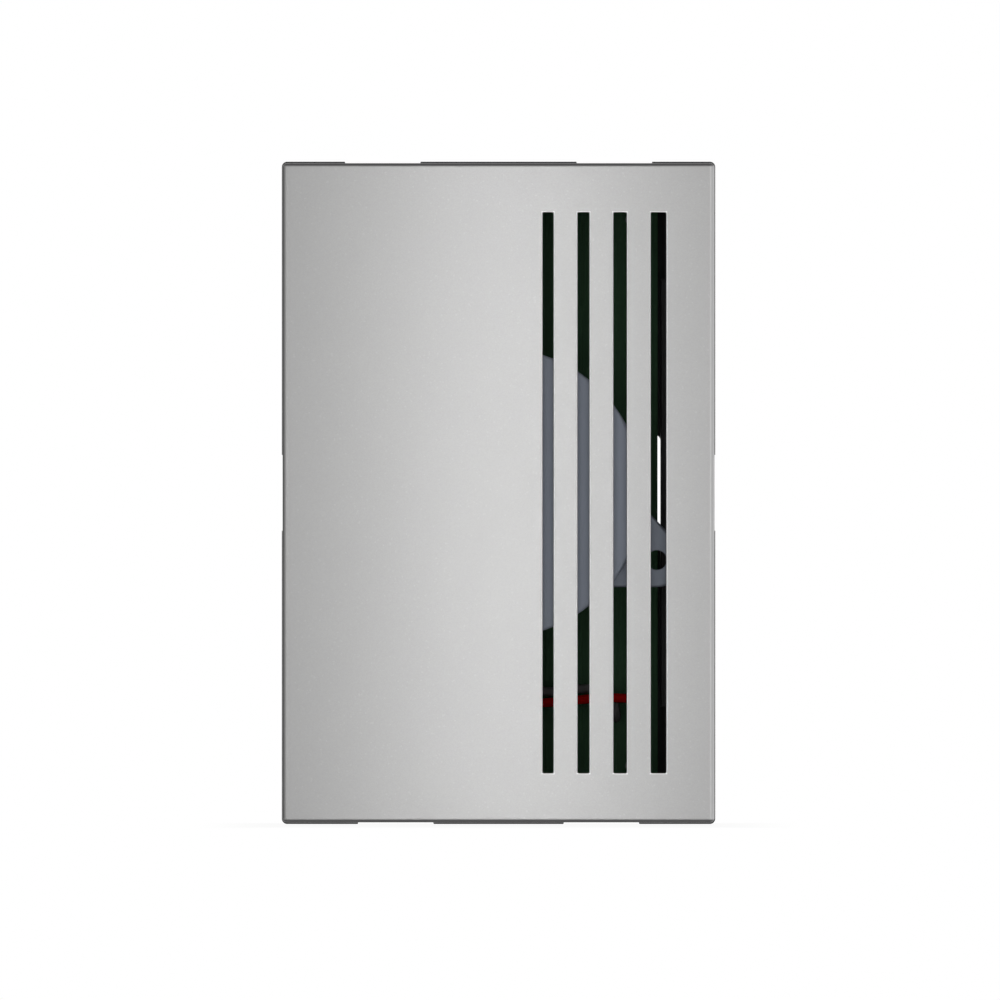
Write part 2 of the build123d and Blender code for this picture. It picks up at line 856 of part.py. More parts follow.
def make_speaker_tags():
    tags = []
    for x in (-tag_spread / 2, tag_spread / 2):
        outline = Pos(x, -(tag_inner + tag_outer) / 2) * RectangleRounded(
            tag_width, tag_outer - tag_inner, tag_width / 3
        )
        outline -= Pos(x, -tag_outer + tag_width / 2) * Circle(tag_hole_radius)
        tags.append(slab(outline, strip_rear - tag_thickness, strip_rear))
    return tags


def lead_points(side, from_tag, from_corner):
    """A lead's points: the first are measured from its tag, the rest from the board's lower right corner."""
    tag = Vector(side * tag_spread / 2, -tag_outer, strip_rear - tag_thickness)
    corner = Vector(board_width / 2, board_low, board_front)
    points = [tag + Vector(*point) for point in from_tag]
    return points + [corner + Vector(*point) for point in from_corner]


red_points = lead_points(-1, red_from_tag, red_from_corner)
black_points = lead_points(1, black_from_tag, black_from_corner)


def bend_radii(points):
    """The radius at each inner point, as large as its two runs allow."""
    radii = []
    for before, here, after in zip(points, points[1:], points[2:]):
        shorter = min((here - before).length, (after - here).length)
        turn = math.radians((here - before).get_angle(after - here))
        radii.append(lead_arc_share * shorter / math.tan(turn / 2))
    return radii


def tube(path, radius):
    """A round wire along a path."""
    start = Plane(origin=path @ 0, z_dir=path % 0)
    return sweep(start * Circle(radius), path)


def make_lead(points):
    radii = bend_radii(points)
    path = FilletPolyline(*points, radius=radii)
    lead = tube(path, lead_radius)
    print("lead bend radii", [round(radius, 1) for radius in radii])
    print("lead volume share", round(lead.volume / (math.pi * lead_radius**2 * path.length), 4))
    return lead


def bare_end(points):
    """The tinned core that passes through the board from a lead's last point, soldered behind it."""
    foot = points[-1]
    core = Pos(foot.X, foot.Y, board_rear - lead_core_proud) * Cylinder(
        lead_core_radius, lead_core_proud + board_thickness, align=seat_up
    )
    solder = Pos(foot.X, foot.Y, board_rear) * Rot(180, 0, 0) * Cone(
        solder_radius, solder_top_radius, solder_height, align=seat_up
    )
    return core + solder


def make_lead_joints():
    joints = [bare_end(red_points), bare_end(black_points)]
    for x in (-tag_spread / 2, tag_spread / 2):
        joints.append(
            Pos(x, -tag_outer + tag_width / 2, strip_rear) * Cone(
                solder_radius, solder_top_radius, solder_height, align=seat_up
            )
        )
    return joints


def terminal_places():
    """X of each pole, and the Y of the block's wire side."""
    first = cable_window_x - pole_pitch * (pole_count - 1) / 2
    wire_side = cable_window_y + cable_window_height / 2 + board_notch_margin + terminal_setback
    return [first + index * pole_pitch for index in range(pole_count)], wire_side


def make_terminal_block():
    places, wire_side = terminal_places()
    length = pole_count * pole_pitch + 2 * terminal_end_wall
    top = board_front + terminal_height
    profile = yz_outline(
        [
            (wire_side, board_front),
            (wire_side, top - 2 * terminal_chamfer),
            (wire_side + terminal_chamfer, top),
            (wire_side + terminal_depth, top),
            (wire_side + terminal_depth, board_front),
        ]
    )
    block = Pos(cable_window_x, 0, 0) * across(profile, length)
    port_height = board_front + terminal_port_height
    for x in places:
        port = Rot(90, 0, 0) * Cylinder(terminal_port_radius, 2 * terminal_port_depth)
        block -= Pos(x, wire_side, port_height) * port
        well = Cylinder(terminal_well_radius, 2 * terminal_well_depth)
        block -= Pos(x, wire_side + terminal_depth / 2 + terminal_chamfer / 2, top) * well
    return block


def make_terminal_screws():
    places, wire_side = terminal_places()
    seat = board_front + terminal_height - terminal_well_depth
    one = Cylinder(terminal_screw_radius, terminal_screw_length, align=seat_up)
    one -= Pos(0, 0, terminal_screw_length) * Box(
        4 * terminal_screw_radius, screw_slot_width, 2 * screw_slot_depth
    )
    y = wire_side + terminal_depth / 2 + terminal_chamfer / 2
    return [Pos(x, y, seat) * one for x in places]


def make_terminal_clamps():
    places, wire_side = terminal_places()
    outer = terminal_port_radius - terminal_clamp_gap
    sleeve = Circle(outer) - Circle(outer - terminal_clamp_wall)
    height = board_front + terminal_port_height
    length = terminal_port_depth - terminal_chamfer
    one = Rot(-90, 0, 0) * extrude(sleeve, length)
    return [Pos(x, wire_side + terminal_chamfer / 2, height) * one for x in places]


def make_trimmer_body():
    outline = RectangleRounded(trimmer_size, trimmer_size, trimmer_corner)
    body = slab(outline, board_front, board_front + trimmer_height)
    top = board_front + trimmer_height
    well = trimmer_well_radius + trimmer_fit
    pivot = trimmer_pivot_radius + trimmer_fit
    body -= Pos(0, 0, top) * Cylinder(well, 2 * trimmer_well_depth)
    body -= Pos(0, 0, top) * Cylinder(pivot, 2 * (trimmer_well_depth + trimmer_pivot_length))
    return Pos(trimmer_x, trimmer_y, 0) * body


def make_trimmer_rotor():
    floor = board_front + trimmer_height - trimmer_well_depth
    height = trimmer_well_depth + trimmer_rise
    top = floor + height
    rotor = Pos(0, 0, floor) * Cylinder(trimmer_well_radius, height, align=seat_up)
    rotor = chamfer(rotor.edges().group_by(Axis.Z)[-1], trimmer_rise / 2)
    pivot_length = trimmer_pivot_length - trimmer_fit
    rotor += Pos(0, 0, floor) * Cylinder(trimmer_pivot_radius, pivot_length, align=hang_down)
    rotor -= Pos(0, 0, top) * Box(trimmer_slot_width, trimmer_slot_length, 2 * trimmer_slot_depth)
    rotor -= Pos(0, 0, top) * Box(trimmer_slot_length, trimmer_slot_width, 2 * trimmer_slot_depth)
    pointer_y = trimmer_well_radius - trimmer_pointer_length / 2
    rotor -= Pos(0, pointer_y, top) * Box(
        trimmer_slot_width / 2, trimmer_pointer_length, trimmer_slot_depth
    )
    return Pos(trimmer_x, trimmer_y, 0) * rotor


def make_switch_can():
    can = slab(Rectangle(switch_length, switch_width), board_front, board_front + switch_height)
    can = fillet(can.edges().group_by(Axis.Z)[-1], switch_wall / 2)
    room = Rectangle(switch_length - 2 * switch_wall, switch_width - 2 * switch_wall)
    can -= slab(room, board_front - overrun, board_front + switch_height - switch_wall)
    mouth = Rectangle(
        switch_knob_length + switch_travel + 2 * switch_fit, switch_knob_width + 2 * switch_fit
    )
    can -= slab(mouth, board_front, board_front + switch_height + overrun)
    return Pos(switch_x, switch_y, 0) * can


def make_melody_slider():
    ceiling = board_front + switch_height - switch_wall - switch_fit
    shoe = Rectangle(switch_shoe_length, switch_width - 2 * switch_wall - 2 * switch_fit)
    slider = slab(shoe, ceiling - switch_shoe_height, ceiling)
    knob = Rectangle(switch_knob_length, switch_knob_width)
    knob = slab(knob, ceiling, board_front + switch_height + switch_knob_height)
    knob = fillet(knob.edges().group_by(Axis.Z)[-1], switch_fit * 3)
    return Pos(switch_x - switch_travel / 2, switch_y, 0) * (slider + knob)


def make_switch_base():
    """The insulating plate under the slider, inside the can."""
    top = board_front + switch_height - switch_wall - 2 * switch_fit - switch_shoe_height
    plate = Rectangle(
        switch_length - 2 * switch_wall - 2 * switch_fit, switch_width - 2 * switch_wall - 2 * switch_fit
    )
    return Pos(switch_x, switch_y, 0) * slab(plate, board_front, top)


def make_chip(x, y, rows):
    """A dual in-line package with its legs and its end mark."""
    length = rows * chip_pitch
    low = board_front + chip_standoff
    body = Rectangle(length, chip_width)
    body = slab(body, low, low + chip_height)
    body -= Pos(-length / 2, 0, low + chip_height) * Cylinder(chip_mark_radius, 2 * chip_mark_depth)
    leg_top = low + chip_height / 2
    leg = yz_outline(
        [
            (chip_width / 2, leg_top),
            (chip_leg_span / 2, leg_top),
            (chip_leg_span / 2, board_front),
            (chip_leg_span / 2 - chip_leg_thickness, board_front),
            (chip_leg_span / 2 - chip_leg_thickness, leg_top - chip_leg_thickness),
            (chip_width / 2, leg_top - chip_leg_thickness),
        ]
    )
    for side in (0, 180):
        for place in GridLocations(chip_pitch, 0, rows, 1):
            body += Rot(0, 0, side) * place * across(leg, chip_leg_width)
    return Pos(x, y, 0) * body


def make_can(radius, height):
    """A standing electrolytic capacitor with the rolled groove near its foot."""
    can = Pos(0, 0, board_front) * Cylinder(radius, height, align=seat_up)
    can = fillet(can.edges().group_by(Axis.Z)[-1], can_top_round)
    return can - Pos(0, 0, board_front + can_groove_rise) * Torus(radius, can_groove_radius)


def make_small_capacitors():
    return [Pos(x, y, 0) * make_can(small_can_radius, small_can_height) for x, y in small_can_places]


def make_rectifier():
    low = board_front + rectifier_standoff
    body = Pos(0, 0, low) * Cylinder(rectifier_radius, rectifier_height, align=seat_up)
    body = fillet(body.edges().group_by(Axis.Z)[-1], rectifier_standoff)
    for place in PolarLocations(rectifier_leg_reach, 4):
        leg = Pos(0, 0, board_front) * Cylinder(rectifier_leg_radius, 2 * rectifier_standoff, align=seat_up)
        body += place * leg
    return Pos(rectifier_x, rectifier_y, 0) * body


def make_regulator():
    low = board_front + regulator_standoff
    outline = Circle(regulator_radius)
    outline -= Pos(0, -regulator_flat - regulator_radius) * Rectangle(
        4 * regulator_radius, 2 * regulator_radius
    )
    body = slab(outline, low, low + regulator_height)
    for place in GridLocations(chip_pitch / 2, 0, 3, 1):
        leg = Box(chip_leg_width, chip_leg_thickness, 2 * regulator_standoff, align=seat_up)
        body += place * Pos(0, 0, board_front) * leg
    return Pos(regulator_x, regulator_y, 0) * body


def make_resistors():
    axis_height = board_front + resistor_lift
    end_start = resistor_length / 2 - resistor_end_length
    half = make_face(
        Polyline(
            [
                (0, 0),
                (0, resistor_waist),
                (end_start, resistor_waist),
                (end_start + resistor_radius - resistor_waist, resistor_radius),
                (resistor_length / 2, resistor_radius),
                (resistor_length / 2, 0),
            ],
            close=True,
        )
    )
    body = revolve(half + mirror(half, Plane.YZ), Axis.X)
    for side in (-1, 1):
        route = FilletPolyline(
            (side * resistor_length / 2, 0, 0),
            (side * resistor_leg_reach, 0, 0),
            (side * resistor_leg_reach, 0, -resistor_lift),
            radius=2 * resistor_leg_radius,
        )
        body += tube(route, resistor_leg_radius)
    span = resistor_pitch * (resistor_count - 1)
    return [
        Pos(resistor_x, resistor_y - span / 2 + index * resistor_pitch, axis_height) * body
        for index in range(resistor_count)
    ]


pieces = {
    "base_plate": make_base_plate,
    "latch_tongues": make_latch_tongues,
    "front_cover": make_front_cover,
    "circuit_board": make_circuit_board,
    "board_screws": make_board_screws,
    "speaker_cradle": make_speaker_cradle,
    "cradle_screws": make_cradle_screws,
    "speaker_yoke": make_speaker_yoke,
    "speaker_magnet": make_speaker_magnet,
    "speaker_top_plate": make_speaker_top_plate,
    "speaker_frame": make_speaker_frame,
    "speaker_screen": make_speaker_screen,
    "speaker_surround": make_speaker_surround,
    "speaker_spider": make_speaker_spider,
    "speaker_cone": make_speaker_cone,
    "voice_coil_former": make_voice_coil_former,
    "voice_coil": make_voice_coil,
    "dust_cap": make_dust_cap,
    "speaker_tag_strip": make_speaker_tag_strip,
    "speaker_tags": make_speaker_tags,
    "lead_red": lambda: make_lead(red_points),
    "lead_black": lambda: make_lead(black_points),
    "lead_joints": make_lead_joints,
    "terminal_block": make_terminal_block,
    "terminal_screws": make_terminal_screws,
    "terminal_clamps": make_terminal_clamps,
    "trimmer_body": make_trimmer_body,
    "trimmer_rotor": make_trimmer_rotor,
    "switch_can": make_switch_can,
    "switch_base": make_switch_base,
    "melody_slider": make_melody_slider,
    "sound_chip": lambda: make_chip(sound_chip_x, sound_chip_y, sound_chip_rows),
    "amplifier_chip": lambda: make_chip(amplifier_x, amplifier_y, amplifier_rows),
    "smoothing_capacitor": lambda: Pos(large_can_x, large_can_y, 0) * make_can(
        large_can_radius, large_can_height
    ),
    "small_capacitors": make_small_capacitors,
    "rectifier": make_rectifier,
    "regulator": make_regulator,
    "resistors": make_resistors,
}

stand_up = Rot(90, 0, 0)
for name, make in pieces.items():
    made = make()
    if isinstance(made, list):
        standing = Compound([stand_up * piece for piece in made])
    else:
        standing = stand_up * made
    export_step(standing, f"parts/{name}.step")
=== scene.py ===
import math

import bmesh
import bpy
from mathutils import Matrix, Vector


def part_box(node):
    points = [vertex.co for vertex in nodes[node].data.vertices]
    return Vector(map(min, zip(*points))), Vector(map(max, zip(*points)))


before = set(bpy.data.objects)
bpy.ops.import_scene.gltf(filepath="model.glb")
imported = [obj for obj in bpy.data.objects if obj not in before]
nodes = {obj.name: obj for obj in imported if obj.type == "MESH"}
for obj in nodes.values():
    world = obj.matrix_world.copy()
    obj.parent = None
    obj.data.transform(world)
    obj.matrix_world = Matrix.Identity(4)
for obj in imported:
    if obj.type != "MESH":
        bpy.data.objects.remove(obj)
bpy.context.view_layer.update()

mm = 0.001

# Places on the part that the view, the light and the finishes follow
cover_low, cover_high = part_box("front_cover")
plate_low, plate_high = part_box("base_plate")
board_low, board_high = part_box("circuit_board")
face_y = cover_low.y

# View: square to the face from far away, with the part where the photograph has it
picture_side = 1000
sensor_width = 0.036
face_scale = 4510.0
camera_reach = 4.5
object_middle_px = (498.03, 492.27)

# Light: soft boxes, with their distances and sizes in metres and their powers in watts
sheen_x = 0.0042
sheen_reach = 0.3
sheen_size = (0.03, 0.225)
sheen_power = 0.218
front_reach = 1.0
front_size = (1.1, 1.8)
front_power = 2.32
side_reach = 1.0
side_lead = 0.12
side_size = (0.5, 1.0)
side_power = 1.3
ambient = 0.22

# Floor: how far the soft shadow runs and how much of the white it takes
floor_side = 30.0
shadow_reach = 0.02
shadow_share = 0.06

# Cover: its wall, its edges and the left and right side of each slot from the middle
cover_wall = 2.0 * mm
cover_draft = 0.28 * mm
edge_round = 0.8 * mm
slot_sides = ((9.8, 12.15), (17.55, 20.1), (25.5, 28.4), (33.8, 37.15))
slot_end = 62.15 * mm
slot_rim_width = 0.26 * mm
slot_rim_depth = 0.1 * mm

# Board and the parts on it
trace_pitch = 1.27 * mm
trace_run = 11 * trace_pitch
skin_depth = 0.05 * mm
leg_clearance = 0.02 * mm
chip_standoff = 0.6 * mm
chip_half = 3.2 * mm
rectifier_standoff = 0.8 * mm
regulator_standoff = 2.0 * mm
resistor_half = 3.1 * mm
band_half = 0.3 * mm
small_can_radius = 2.5 * mm
can_top_depth = 0.3 * mm
dash_pitch = 3.4 * mm

# Threads of the cloths and turns of the coil
screen_thread = 0.32 * mm
spider_thread = 0.6 * mm
coil_pitch = 0.2 * mm


def grey(value, warm=0.0):
    return (value * (1 + warm), value, value * (1 - warm), 1.0)


def rgb(red, green, blue):
    return (red, green, blue, 1.0)


class Shading:
    """A node tree that is built by short calls."""

    def __init__(self, tree):
        self.tree = tree

    def feed(self, socket, value):
        if isinstance(value, bpy.types.NodeSocket):
            self.tree.links.new(value, socket)
        else:
            socket.default_value = value

    def node(self, kind, *values, **settings):
        """A node with its settings, and its first inputs as numbers, colours or other outputs."""
        made = self.tree.nodes.new(kind)
        for key, value in settings.items():
            setattr(made, key, value)
        for socket, value in zip(made.inputs, values):
            self.feed(socket, value)
        return made

    def math(self, operation, *values):
        return self.node("ShaderNodeMath", *values, operation=operation).outputs[0]

    def less(self, first, second):
        return self.math("SUBTRACT", first, second)

    def times(self, first, second):
        return self.math("MULTIPLY", first, second)

    def most(self, first, *others):
        """The largest of some numbers."""
        for other in others:
            first = self.math("MAXIMUM", first, other)
        return first

    def over(self, value, limit):
        """1 where the value is over the limit."""
        return self.math("GREATER_THAN", value, limit)

    def under(self, value, limit):
        """1 where the value is under the limit."""
        return self.math("LESS_THAN", value, limit)

    def off(self, value, middle):
        """How far the value is from a middle."""
        return self.math("ABSOLUTE", self.less(value, middle))

    def near(self, value, middle, reach):
        """1 where the value is within reach of the middle."""
        return self.math("COMPARE", value, middle, reach)

    def rise(self, value, low, high):
        """0 at low, 1 at high, and smooth between them."""
        made = self.node("ShaderNodeMapRange", value, low, high, interpolation_type="SMOOTHSTEP")
        return made.outputs["Result"]


class Finish(Shading):
    """One material, built from the part's own coordinates in metres."""

    def __init__(self, name, roughness, metallic=0.0, specular=0.5):
        self.material = bpy.data.materials.new(name)
        self.material.use_nodes = True
        super().__init__(self.material.node_tree)
        self.shader = self.tree.nodes["Principled BSDF"]
        self.shader.inputs["Roughness"].default_value = roughness
        self.shader.inputs["Metallic"].default_value = metallic
        self.shader.inputs["Specular IOR Level"].default_value = specular
        self.place = self.tree.nodes.new("ShaderNodeTexCoord").outputs["Object"]
        self.x, self.y, self.z = self.node("ShaderNodeSeparateXYZ", self.place).outputs

    def noise(self, size, detail=2.0, place=None):
        """Soft noise from 0 to 1 whose blotches are about this size."""
        made = self.node("ShaderNodeTexNoise", self.place if place is None else place)
        made.inputs["Scale"].default_value = 1.0 / size
        made.inputs["Detail"].default_value = detail
        return made.outputs["Fac"]

    def streaks(self, size, detail, stretch):
        """Noise that is drawn out along X by one over the stretch."""
        drawn = self.node("ShaderNodeVectorMath", self.place, (stretch, 1.0, 1.0), operation="MULTIPLY")
        return self.noise(size, detail, drawn.outputs[0])

    def flecks(self, size):
        """A different value from 0 to 1 in each random cell."""
        made = self.node("ShaderNodeTexVoronoi", self.place)
        made.inputs["Scale"].default_value = 1.0 / size
        return self.node("ShaderNodeSeparateColor", made.outputs["Color"]).outputs[0]

    def wave(self, value, pitch):
        """A sine along one coordinate, from -1 to 1."""
        return self.math("SINE", self.times(value, 2 * math.pi / pitch))

    def weave(self, thread):
        """Threads that cross along X and Z, from 0 to 1."""
        crossed = self.times(self.wave(self.x, thread), self.wave(self.z, thread))
        return self.math("MULTIPLY_ADD", crossed, 0.5, 0.5)

    def mix(self, share, first, second):
        """A colour between two colours."""
        made = self.node("ShaderNodeMix", data_type="RGBA")
        for place, value in ((0, share), (6, first), (7, second)):
            self.feed(made.inputs[place], value)
        return made.outputs[2]

    def blend(self, share, first, second):
        """A number between two numbers."""
        made = self.node("ShaderNodeMix")
        for place, value in ((0, share), (2, first), (3, second)):
            self.feed(made.inputs[place], value)
        return made.outputs[0]

    def colour(self, value):
        self.feed(self.shader.inputs["Base Color"], value)

    def mottle(self, size, detail, first, second):
        """Two colours in blotches of about this size."""
        self.colour(self.mix(self.noise(size, detail), first, second))

    def roughness(self, value):
        self.feed(self.shader.inputs["Roughness"], value)

    def metallic(self, value):
        self.feed(self.shader.inputs["Metallic"], value)

    def bump(self, height, depth):
        """Relief of this depth where the height goes from 0 to 1."""
        made = self.node("ShaderNodeBump")
        made.inputs["Distance"].default_value = depth
        self.feed(made.inputs["Height"], height)
        self.feed(self.shader.inputs["Normal"], made.outputs["Normal"])

    def dress(self, *names):
        """Gives CAD nodes this finish."""
        for name in names:
            nodes[name].data.materials.clear()
            nodes[name].data.materials.append(self.material)


def add_camera():
    middle = (picture_side - 1) / 2
    shift_x, shift_z = [(middle - pixel) / face_scale for pixel in object_middle_px]
    data = bpy.data.cameras.new("camera")
    data.sensor_width = sensor_width * 1000
    data.lens = 1000 * sensor_width * face_scale * camera_reach / picture_side
    data.clip_start = camera_reach / 100
    data.clip_end = camera_reach * 100
    camera = bpy.data.objects.new("camera", data)
    camera.location = (shift_x, face_y - camera_reach, -shift_z)
    camera.rotation_euler = (math.pi / 2, 0, 0)
    bpy.context.scene.collection.objects.link(camera)
    bpy.context.scene.camera = camera


def add_lamp(name, place, aim, size, power):
    """A soft box that shines from its place towards a point."""
    data = bpy.data.lights.new(name, "AREA")
    data.shape = "RECTANGLE"
    data.size, data.size_y = size
    data.energy = power
    lamp = bpy.data.objects.new(name, data)
    lamp.location = place
    lamp.rotation_euler = (Vector(aim) - Vector(place)).to_track_quat("-Z", "Y").to_euler()
    lamp.visible_camera = False
    bpy.context.scene.collection.objects.link(lamp)
    return lamp


def add_world():
    """White for the camera, for mirrors and for glass, and a soft fill for the rest."""
    world = bpy.data.worlds.new("studio")
    world.use_nodes = True
    studio = Shading(world.node_tree)
    rays = studio.node("ShaderNodeLightPath").outputs
    seen = studio.most(rays["Is Camera Ray"], rays["Is Glossy Ray"], rays["Is Transmission Ray"])
    level = studio.node("ShaderNodeMapRange", seen, 0.0, 1.0, ambient, 1.0)
    background = studio.tree.nodes["Background"]
    background.inputs["Color"].default_value = rgb(1, 1, 1)
    studio.feed(background.inputs["Strength"], level.outputs["Result"])
    bpy.context.scene.world = world
    bpy.context.scene.view_settings.view_transform = "Standard"


def add_floor():
    """A sheet under the part, white to the camera apart from a soft shadow."""
    mesh = bpy.data.meshes.new("floor")
    form = bmesh.new()
    bmesh.ops.create_grid(form, x_segments=1, y_segments=1, size=floor_side / 2)
    form.to_mesh(mesh)
    form.free()
    floor = bpy.data.objects.new("floor", mesh)
    floor.location = (0, 0, plate_low.z)
    bpy.context.scene.collection.objects.link(floor)

    paper = Finish("floor_paper", 0.9, specular=0.1)
    paper.mottle(0.02, 2.0, grey(0.8), grey(0.84))
    rays = paper.node("ShaderNodeLightPath").outputs
    seen = paper.most(rays["Is Camera Ray"], rays["Is Glossy Ray"])
    depth_middle = (face_y + plate_high.y) / 2
    aside = paper.less(paper.off(paper.x, 0.0), plate_high.x)
    ahead = paper.less(paper.off(paper.y, depth_middle), plate_high.y - depth_middle)
    shadow = paper.times(paper.rise(paper.most(aside, ahead), shadow_reach, 0), shadow_share)
    glow = paper.node("ShaderNodeEmission", grey(1.0), 1.0)
    lit = paper.shader.outputs["BSDF"]
    shown = paper.node("ShaderNodeMixShader", paper.less(seen, shadow), lit, glow.outputs["Emission"])
    paper.feed(paper.tree.nodes["Material Output"].inputs["Surface"], shown.outputs[0])
    mesh.materials.append(paper.material)
    return floor


def add_lights():
    """A narrow soft box for a gloss on the cover alone, a large one in front and one at the right."""
    sheen_place = (sheen_x, face_y - sheen_reach, 0)
    sheen = add_lamp("strip_light", sheen_place, (sheen_x, face_y, 0), sheen_size, sheen_power)
    sheen.visible_diffuse = False
    sheen_on = bpy.data.collections.new("sheen_on")
    sheen_on.objects.link(nodes["front_cover"])
    sheen.light_linking.receiver_collection = sheen_on

    front = add_lamp("front_light", (0, face_y - front_reach, 0), (0, face_y, 0), front_size, front_power)
    side_place = (side_reach, face_y - side_lead, 0)
    side = add_lamp("side_light", side_place, (plate_high.x, face_y, 0), side_size, side_power)
    return sheen, front, side


def clear_lights_of(floor, lamps):
    """The soft boxes reach lower than the floor, which doesn't shade them."""
    clear_floor = bpy.data.collections.new("clear_floor")
    clear_floor.objects.link(floor)
    clear_floor.collection_objects[0].light_linking.link_state = "EXCLUDE"
    for lamp in lamps:
        lamp.light_linking.blocker_collection = clear_floor


def slot_rims(cover):
    """1 round each slot, out to the width of its rim."""
    found = None
    for left, right in slot_sides:
        beside = cover.less(cover.off(cover.x, (left + right) / 2 * mm), (right - left) / 2 * mm)
        past_end = cover.less(cover.off(cover.z, 0.0), slot_end)
        here = cover.under(cover.most(beside, past_end), slot_rim_width)
        found = here if found is None else cover.most(found, here)
    return found


def finish_cover():
    """Silver lacquer with fine flakes over a grey moulding, which is bare inside and in the slots, with
    painted shade and painted light on the rounded edges, a painted highlight round each slot and painted
    shade on the slots' walls.
    """
    cover = Finish("cover_lacquer", 0.3, metallic=0.3)
    from_face = cover.less(cover.y, face_y)
    from_left = cover.less(cover.x, cover_low.x)
    from_right = cover.less(cover_high.x, cover.x)
    from_side = cover.less(cover_high.x, cover.off(cover.x, 0.0))
    from_end = cover.less(cover_high.z, cover.off(cover.z, 0.0))

    sparkle = cover.flecks(0.22 * mm)
    flake = cover.over(cover.flecks(0.3 * mm), 0.985)
    silver = cover.mix(sparkle, grey(0.35, 0.004), grey(0.375, 0.004))
    silver = cover.mix(cover.times(cover.noise(9 * mm), 0.25), silver, grey(0.33))
    silver = cover.mix(cover.times(flake, 0.5), silver, grey(0.42))

    # The rounded edges: painted light on the rounding at the right, and a thin painted shade on the
    # rounding at the left, top and bottom
    on_round = cover.rise(from_face, edge_round, 0.5 * edge_round)
    painted_light_right = cover.rise(from_right, cover_draft + 1.45 * edge_round, cover_draft + 0.7 * edge_round)
    painted_shade_left = cover.rise(from_left, cover_draft + 0.72 * edge_round, cover_draft + 0.25 * edge_round)
    painted_shade_ends = cover.rise(from_end, cover_draft + 1.05 * edge_round, cover_draft + 0.45 * edge_round)
    painted_edge_shade = cover.times(cover.most(painted_shade_left, painted_shade_ends), on_round)
    # Painted light: a paler grey on the right rounding
    silver = cover.mix(cover.times(painted_light_right, on_round), silver, grey(0.6))
    # Painted shade: a near-black grey on the left, top and bottom rounding
    silver = cover.mix(cover.times(painted_edge_shade, 0.88), silver, grey(0.04))

    # A painted highlight as a pale rim round each slot; no lacquer on the slots' walls or inside, where
    # the dark bare grey is also painted shade on the walls
    rims = slot_rims(cover)
    in_slot = cover.over(from_face, slot_rim_depth)
    # Painted highlight: pale grey on the face round each slot's edge
    silver = cover.mix(cover.times(rims, cover.less(1.0, in_slot)), silver, grey(0.74))
    within = cover.rise(cover.math("MINIMUM", from_side, from_end), 0.8 * cover_wall, 0.95 * cover_wall)
    behind = cover.rise(from_face, 0.9 * cover_wall, 0.98 * cover_wall)
    bare = cover.most(cover.times(within, behind), cover.times(rims, in_slot))

    # Bare moulding inside the cover; on the slots' walls its dark grey is painted shade
    cover.colour(cover.mix(bare, silver, grey(0.14, 0.01)))
    cover.metallic(cover.blend(bare, 0.3, 0.0))
    cover.roughness(cover.blend(bare, cover.blend(sparkle, 0.28, 0.32), 0.6))
    cover.bump(cover.noise(0.5 * mm, 3.0), 0.004 * mm)
    cover.dress("front_cover")


def finish_plate():
    """Black moulded plastic with a fine spark-eroded texture."""
    plate = Finish("plate_plastic", 0.45, specular=0.2)
    plate.mottle(6 * mm, 2.0, grey(0.055), grey(0.066))
    plate.roughness(plate.blend(plate.noise(1.5 * mm), 0.4, 0.5))
    plate.bump(plate.noise(0.35 * mm, 3.0), 0.012 * mm)
    plate.dress("base_plate", "latch_tongues")


def finish_board():
    """Green resist over copper traces, with bare glass-fibre edges."""
    board = Finish("board_resist", 0.6, specular=0.08)
    column = board.math("DIVIDE", board.x, trace_pitch)
    row = board.math("DIVIDE", board.z, trace_run)
    cell = board.node("ShaderNodeCombineXYZ", board.math("FLOOR", column), board.math("FLOOR", row), 0.0)
    chance = board.node("ShaderNodeTexWhiteNoise", cell.outputs[0]).outputs["Value"]
    lane = board.off(board.math("FRACT", column), 0.5)
    trace = board.times(board.rise(lane, 0.27, 0.2), board.under(chance, 0.55))
    resist = board.mix(trace, rgb(0.104, 0.236, 0.125), rgb(0.116, 0.262, 0.139))
    resist = board.mix(board.times(board.noise(5 * mm), 0.3), resist, rgb(0.095, 0.215, 0.115))
    middle = (board_low.y + board_high.y) / 2
    edge = board.near(board.y, middle, (board_high.y - board_low.y) / 2 - skin_depth)
    board.colour(board.mix(edge, resist, rgb(0.10, 0.095, 0.04)))
    board.roughness(board.blend(edge, 0.6, 0.8))
    board.bump(trace, 0.03 * mm)
    board.dress("circuit_board")


def finish_speaker_front():
    """Blue-grey zinc frame and the close cloth over it."""
    zinc = Finish("frame_zinc", 0.42, metallic=0.2, specular=0.3)
    zinc.mottle(2.5 * mm, 4.0, rgb(0.218, 0.243, 0.292), rgb(0.245, 0.273, 0.324))
    zinc.roughness(zinc.blend(zinc.noise(1.2 * mm), 0.36, 0.48))
    zinc.bump(zinc.noise(0.6 * mm, 3.0), 0.006 * mm)
    zinc.dress("speaker_frame")

    cloth = Finish("screen_cloth", 0.75, specular=0.3)
    weave = cloth.weave(screen_thread)
    cloth.colour(cloth.mix(weave, rgb(0.49, 0.545, 0.65), rgb(0.53, 0.585, 0.69)))
    cloth.bump(weave, 0.02 * mm)
    cloth.dress("speaker_screen")


